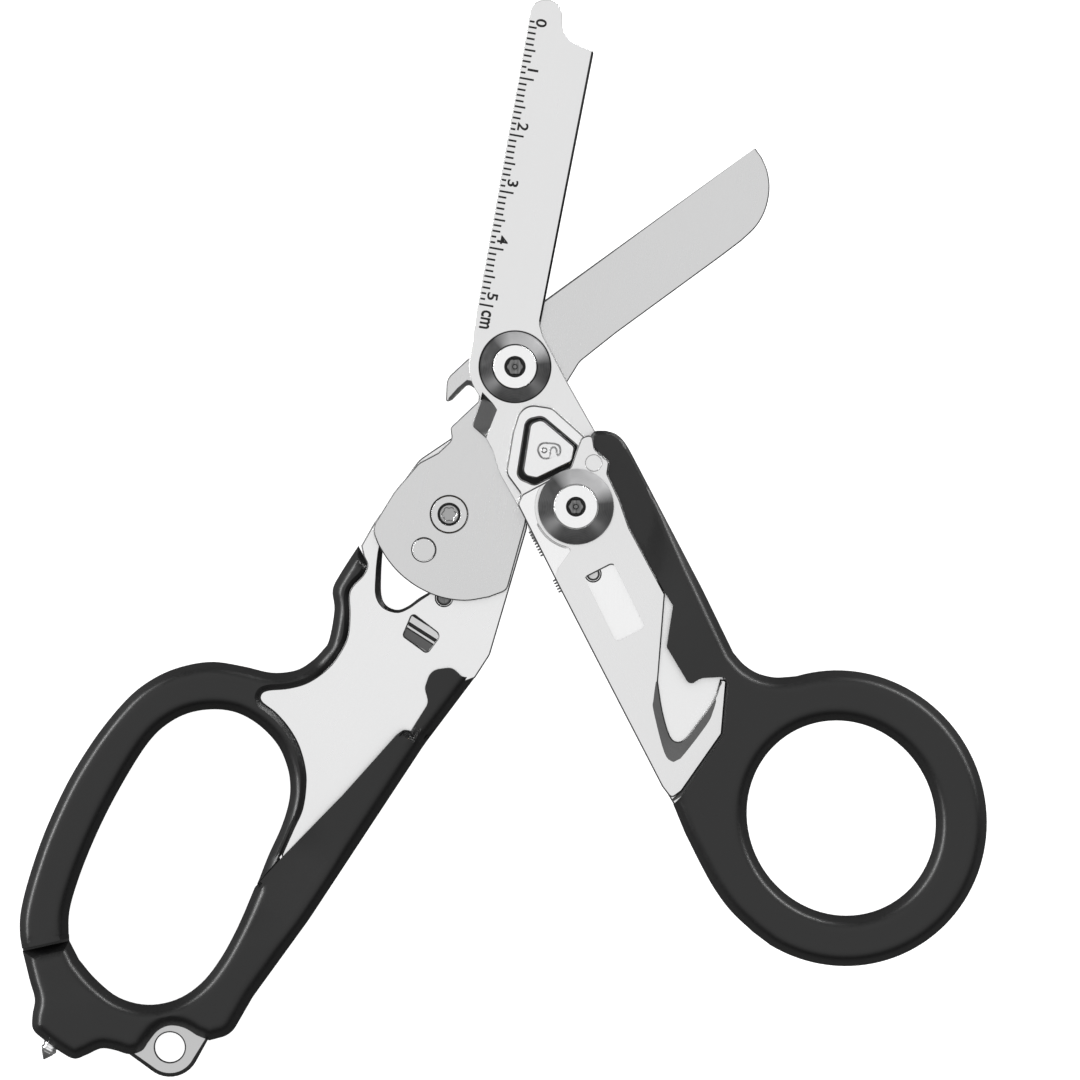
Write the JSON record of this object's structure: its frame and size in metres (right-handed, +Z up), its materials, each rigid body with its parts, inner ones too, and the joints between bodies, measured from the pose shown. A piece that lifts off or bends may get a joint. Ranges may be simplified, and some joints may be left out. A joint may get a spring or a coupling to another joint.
{
  "type": "multi tool",
  "caption": "Folding rescue shears with a ruler blade, a plain blade with a ring-cutter hook, a swinging strap cutter, two fold-out finger-loop handles, lock buttons, glass breaker and clip.",
  "frame": {"origin": "centre of the bounding box, at its lowest point: the back of the oval handle's grips, where the tool lies", "axes": "+Z up towards the side with the ruler, +Y along the ruler blade's way (it leans 10 degrees from it), +X towards the round handle"},
  "size_m": [0.1694, 0.188, 0.0184],
  "materials": {
    "blade_steel": "satin bead-blasted stainless steel",
    "frame_steel": "fine satin stainless steel",
    "dark_collar": "turned, radially reflecting steel",
    "bright_steel": "smooth bright steel",
    "black_grip": "fine-grained glass-filled nylon",
    "carbide": "ground carbide",
    "washer_bronze": "plain bronze"
  },
  "bodies": {
    "ruler_blade_group": {"ruler_blade": "blade_steel", "shear_pivot_screw": "bright_steel", "shear_pivot_nut": "bright_steel", "shear_pivot_collar": "dark_collar", "shear_back_collar": "dark_collar", "round_pivot_screw": "bright_steel", "round_pivot_nut": "bright_steel", "round_pivot_collar": "dark_collar", "round_pivot_washer": "washer_bronze", "round_lock_spring": "bright_steel"},
    "plain_blade_group": {"plain_blade": "blade_steel", "oval_pivot_screw": "bright_steel", "oval_pivot_nut": "bright_steel", "oval_pivot_collar": "dark_collar", "oval_pivot_washer": "washer_bronze", "tang_pin": "bright_steel", "oval_lock_spring": "bright_steel"},
    "round_handle": {"round_handle_frame": "frame_steel", "round_handle_grip": "black_grip"},
    "strap_cutter_group": {"strap_cutter": "frame_steel", "strap_cutter_pin": "bright_steel"},
    "oval_handle": {"oval_handle_frame": "frame_steel", "oval_loop_grip": "black_grip", "oval_end_grip": "black_grip", "glass_breaker_stud": "bright_steel", "glass_breaker_tip": "carbide", "pocket_clip": "frame_steel"},
    "round_button": {"round_lock_button": "frame_steel"},
    "oval_button": {"oval_lock_button": "frame_steel"}
  },
  "joints": [
    {"name": "shear_pivot", "type": "hinge", "parent": "ruler_blade_group", "child": "plain_blade_group", "pos_m": [0.00193, 0.03003, 0.0092], "axis": [0, 0, 1], "range_deg": [-6, 44]},
    {"name": "round_handle_fold", "type": "hinge", "parent": "ruler_blade_group", "child": "round_handle", "pos_m": [0.01253, 0.00563, 0.0132], "axis": [0, 0, 1], "range_deg": [0, 150]},
    {"name": "oval_handle_fold", "type": "hinge", "parent": "plain_blade_group", "child": "oval_handle", "pos_m": [-0.00957, 0.00433, 0.0052], "axis": [0, 0, 1], "range_deg": [-170, 0]},
    {"name": "strap_cutter_swing", "type": "hinge", "parent": "round_handle", "child": "strap_cutter_group", "pos_m": [0.01253, 0.00563, 0.0152], "axis": [0, 0, 1], "range_deg": [-110, 0]},
    {"name": "round_lock_press", "type": "slide", "parent": "ruler_blade_group", "child": "round_button", "axis": [0, 0, -1], "range_m": [0, 0.0008], "stiffness_N_per_m": 600, "springref_m": -0.0005, "deforming": ["round_lock_spring"]},
    {"name": "oval_lock_press", "type": "slide", "parent": "plain_blade_group", "child": "oval_button", "axis": [0, 0, 1], "range_m": [0, 0.0008], "stiffness_N_per_m": 600, "springref_m": -0.0005, "deforming": ["oval_lock_spring"]}
  ]
}
